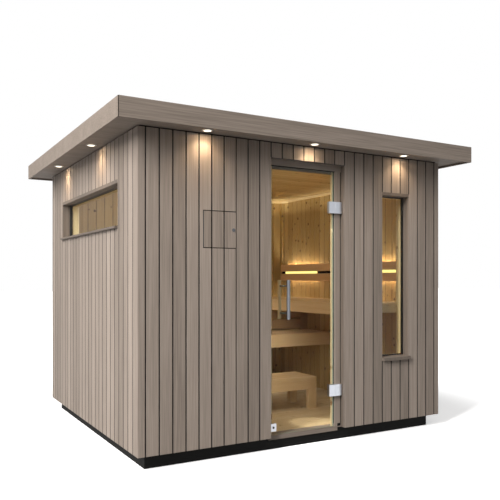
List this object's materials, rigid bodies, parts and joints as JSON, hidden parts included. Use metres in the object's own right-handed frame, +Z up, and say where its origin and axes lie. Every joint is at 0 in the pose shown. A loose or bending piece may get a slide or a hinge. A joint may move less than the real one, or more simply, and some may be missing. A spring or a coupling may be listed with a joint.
{
  "type": "outdoor sauna cabin",
  "caption": "Board-clad timber sauna cabin with a flat overhanging roof, an all-glass door, fixed windows, a small wall hatch, benches and a stool.",
  "frame": {"origin": "on the ground, under the middle of the roof", "axes": "+X to the right along the front, +Y to the back, +Z up"},
  "size_m": [3.21, 2.932, 2.471],
  "materials": {
    "base_black": "black stained timber",
    "floor_planks": "plain sawn planks",
    "wall_core": "timber frame behind a black weather sheet",
    "cladding": "weathered grey brown boards",
    "spruce": "knotty spruce panelling",
    "lamp_metal": "satin",
    "roof_timber": "plain",
    "roof_sheet": "matt roofing sheet",
    "black_metal": "matt black",
    "clear_glass": "clear tempered",
    "frame_wood": "grey brown stained outside",
    "hinge_metal": "satin chrome",
    "handle_steel": "brushed",
    "bench_wood": "smooth pale wood",
    "light_strip": "glowing diffuser"
  },
  "bodies": {
    "root": {"plinth": "base_black", "floor": "floor_planks", "front_wall_left": "wall_core", "front_wall_right": "wall_core", "front_wall_over_door": "wall_core", "left_wall": "wall_core", "right_wall": "wall_core", "back_wall": "wall_core", "front_cladding": "cladding", "left_cladding": "cladding", "right_cladding": "cladding", "back_cladding": "cladding", "wall_lining": "spruce", "ceiling": "spruce", "corner_battens": "spruce", "ceiling_cove": "spruce", "soffit": "cladding", "soffit_spotlights": "lamp_metal", "roof_deck": "roof_timber", "roof_sheet": "roof_sheet", "fascia": "cladding", "window_casings": "cladding", "window_sashes": "black_metal", "window_panes": "clear_glass", "window_reveals": "spruce", "window_sills": "cladding", "door_casing": "cladding", "hinge_side_jamb": "frame_wood", "lock_side_jamb": "frame_wood", "door_head": "frame_wood", "door_threshold": "cladding", "frame_hinges": "hinge_metal", "hatch_hinge": "black_metal", "upper_bench_back": "bench_wood", "upper_bench_right": "bench_wood", "lower_bench": "bench_wood", "bench_riser": "bench_wood", "step_stool": "bench_wood", "backrests": "bench_wood", "light_strips": "light_strip"},
    "door": {"door_glass": "clear_glass", "leaf_hinges": "hinge_metal", "door_handle": "handle_steel", "inside_handle": "bench_wood", "door_lock": "hinge_metal"},
    "hatch": {"hatch_panel": "cladding", "hatch_lock": "handle_steel"}
  },
  "joints": [
    {"name": "door_swing", "type": "hinge", "parent": "root", "child": "door", "pos_m": [0.278, -1.236, 1.14], "axis": [0, 0, 1], "range_deg": [0, 105]},
    {"name": "hatch_swing", "type": "hinge", "parent": "root", "child": "hatch", "pos_m": [-0.91525, -1.266, 1.6665], "axis": [0, 0, -1], "range_deg": [0, 100]}
  ]
}
